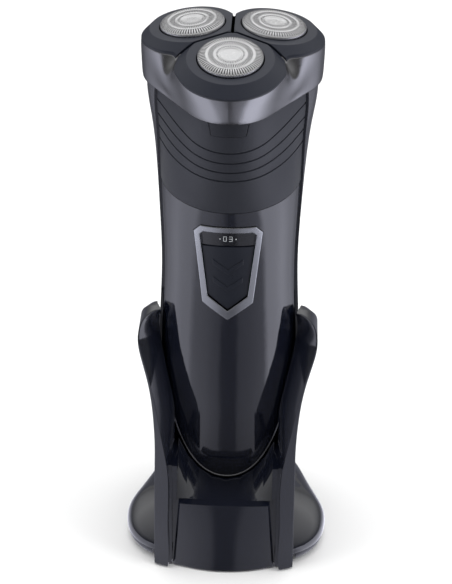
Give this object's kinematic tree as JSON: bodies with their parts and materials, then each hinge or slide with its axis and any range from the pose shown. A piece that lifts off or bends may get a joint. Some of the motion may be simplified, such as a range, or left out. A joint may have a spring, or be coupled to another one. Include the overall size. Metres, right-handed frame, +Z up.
{
  "type": "electric shaver",
  "caption": "Rotary electric shaver with tilted foil heads, soft grip, shield-shaped switch panel and pop-up trimmer, upright in a charging stand with two side arms.",
  "frame": {"origin": "centre of the footprint, on the surface that the stand's feet rest on", "axes": "+Z up along the shaver, -Y towards the switch side, X across the mirror plane"},
  "size_m": [0.0742, 0.0721, 0.2079],
  "materials": {
    "gloss_black": "high gloss moulded plastic",
    "matt_black": "fine spark-eroded plastic",
    "button_black": "satin plastic",
    "soft_black": "soft-touch rubber",
    "pad_black": "matt plastic",
    "foot_rubber": "matt rubber",
    "dark_chrome": "dark chrome plating",
    "silver_bezel": "satin chrome plating",
    "smoked_lens": "smoked clear plastic",
    "foil_steel": "bright pierced steel",
    "blade_steel": "ground steel",
    "shaft_steel": "turned steel",
    "motor_steel": "zinc-plated steel",
    "magnet": "ferrite",
    "armature": "enamelled copper on a steel core",
    "contact_brass": "plated brass",
    "gear_white": "acetal",
    "frame_grey": "moulded plastic",
    "board_green": "solder mask",
    "chip_black": "moulded epoxy",
    "battery_wrap": "shrink sleeve"
  },
  "bodies": {
    "stand": {"stand_housing": "gloss_black", "stand_front_panel": "gloss_black", "stand_bottom_cover": "matt_black", "stand_rubber_feet": "foot_rubber", "stand_screws": "shaft_steel", "stand_circuit_board": "board_green", "stand_contact_pins": "contact_brass", "stand_power_inlet": "matt_black", "stand_inlet_pins": "contact_brass"},
    "handle": {"front_shell": "gloss_black", "grip_cover": "soft_black", "rear_shell": "gloss_black", "shell_screws": "shaft_steel", "switch_bezel": "silver_bezel", "display_lens": "smoked_lens", "display_module": "chip_black", "power_switch": "chip_black", "circuit_board": "board_green", "board_chips": "chip_black", "battery_cell": "battery_wrap", "battery_tabs": "contact_brass", "motor_can": "motor_steel", "motor_end_cap": "frame_grey", "motor_magnets": "magnet", "motor_terminals": "contact_brass", "inner_chassis": "frame_grey", "gear_plate": "frame_grey", "gear_cover": "frame_grey", "charging_contacts": "contact_brass", "contact_block": "frame_grey", "trimmer_hinge_pin": "shaft_steel", "head_hinge_pin": "shaft_steel"},
    "rotor": {"motor_shaft": "shaft_steel", "motor_armature": "armature", "sun_gear": "contact_brass"},
    "button": {"power_button": "button_black"},
    "release": {"release_button": "matt_black"},
    "head": {"head_base": "matt_black", "head_trim": "dark_chrome", "pad_front": "pad_black", "pad_right": "pad_black", "pad_left": "pad_black", "retaining_frame": "matt_black"},
    "knob": {"retaining_knob": "matt_black"},
    "trimmer": {"trimmer_frame": "matt_black", "trimmer_comb": "blade_steel"},
    "trimmer_blade": {"trimmer_cutter": "blade_steel"},
    "slider": {"trimmer_slider": "matt_black"},
    "drive_front": {"drive_gear_front": "gear_white", "drive_spindle_front": "gear_white"},
    "float_front": {"foil_front": "foil_steel"},
    "blades_front": {"cutter_front": "blade_steel"},
    "drive_right": {"drive_gear_right": "gear_white", "drive_spindle_right": "gear_white"},
    "float_right": {"foil_right": "foil_steel"},
    "blades_right": {"cutter_right": "blade_steel"},
    "drive_left": {"drive_gear_left": "gear_white", "drive_spindle_left": "gear_white"},
    "float_left": {"foil_left": "foil_steel"},
    "blades_left": {"cutter_left": "blade_steel"}
  },
  "joints": [
    {"name": "shaver_lift", "type": "slide", "parent": "stand", "child": "handle", "axis": [0, 0, 1], "range_m": [0, 0.13]},
    {"name": "motor_spin", "type": "hinge", "parent": "handle", "child": "rotor", "pos_m": [0, 0, 0.17], "axis": [0, 0, 1], "continuous": true},
    {"name": "power_button_press", "type": "slide", "parent": "handle", "child": "button", "axis": [0, 1, 0], "range_m": [0, 0.0005], "stiffness_N_per_m": 400},
    {"name": "release_press", "type": "slide", "parent": "handle", "child": "release", "axis": [0, 1, 0], "range_m": [0, 0.0008], "stiffness_N_per_m": 400},
    {"name": "head_open", "type": "hinge", "parent": "handle", "child": "head", "pos_m": [0, 0.026, 0.1866], "axis": [-1, 0, 0], "range_deg": [0, 75]},
    {"name": "retaining_knob_turn", "type": "hinge", "parent": "head", "child": "knob", "pos_m": [0, 0, 0.194], "axis": [0, 0, 1], "range_deg": [0, 90]},
    {"name": "trimmer_flip", "type": "hinge", "parent": "handle", "child": "trimmer", "pos_m": [0, 0.0182, 0.151], "axis": [-1, 0, 0], "range_deg": [0, 55]},
    {"name": "trimmer_blade_slide", "type": "slide", "parent": "trimmer", "child": "trimmer_blade", "axis": [1, 0, 0], "range_m": [-0.0008, 0.0008]},
    {"name": "trimmer_slider_slide", "type": "slide", "parent": "handle", "child": "slider", "axis": [0, 0, -1], "range_m": [0, 0.004]},
    {"name": "drive_spin_front", "type": "hinge", "parent": "handle", "child": "drive_front", "pos_m": [0, -0.0145, 0.177], "axis": [0, 0, 1], "continuous": true},
    {"name": "foil_float_front", "type": "slide", "parent": "head", "child": "float_front", "axis": [0, 0.1305, -0.9914], "range_m": [0, 0.001], "stiffness_N_per_m": 300, "springref_m": -0.001},
    {"name": "cutter_spin_front", "type": "hinge", "parent": "float_front", "child": "blades_front", "pos_m": [0, -0.01625, 0.2049], "axis": [0, -0.1305, 0.9914], "continuous": true},
    {"name": "drive_spin_right", "type": "hinge", "parent": "handle", "child": "drive_right", "pos_m": [0.01256, 0.00725, 0.177], "axis": [0, 0, 1], "continuous": true},
    {"name": "foil_float_right", "type": "slide", "parent": "head", "child": "float_right", "axis": [-0.113, -0.0653, -0.9914], "range_m": [0, 0.001], "stiffness_N_per_m": 300, "springref_m": -0.001},
    {"name": "cutter_spin_right", "type": "hinge", "parent": "float_right", "child": "blades_right", "pos_m": [0.01407, 0.00813, 0.2049], "axis": [0.113, 0.0653, 0.9914], "continuous": true},
    {"name": "drive_spin_left", "type": "hinge", "parent": "handle", "child": "drive_left", "pos_m": [-0.01256, 0.00725, 0.177], "axis": [0, 0, 1], "continuous": true},
    {"name": "foil_float_left", "type": "slide", "parent": "head", "child": "float_left", "axis": [0.113, -0.0653, -0.9914], "range_m": [0, 0.001], "stiffness_N_per_m": 300, "springref_m": -0.001},
    {"name": "cutter_spin_left", "type": "hinge", "parent": "float_left", "child": "blades_left", "pos_m": [-0.01407, 0.00813, 0.2049], "axis": [-0.113, 0.0653, 0.9914], "continuous": true}
  ],
  "couplings": [
    {"joint": "trimmer_flip", "follows": "trimmer_slider_slide", "rad_per_m": 239.98},
    {"joint": "drive_spin_front", "follows": "motor_spin", "ratio": -0.70588},
    {"joint": "cutter_spin_front", "follows": "motor_spin", "ratio": -0.70588},
    {"joint": "drive_spin_right", "follows": "motor_spin", "ratio": -0.70588},
    {"joint": "cutter_spin_right", "follows": "motor_spin", "ratio": -0.70588},
    {"joint": "drive_spin_left", "follows": "motor_spin", "ratio": -0.70588},
    {"joint": "cutter_spin_left", "follows": "motor_spin", "ratio": -0.70588}
  ]
}
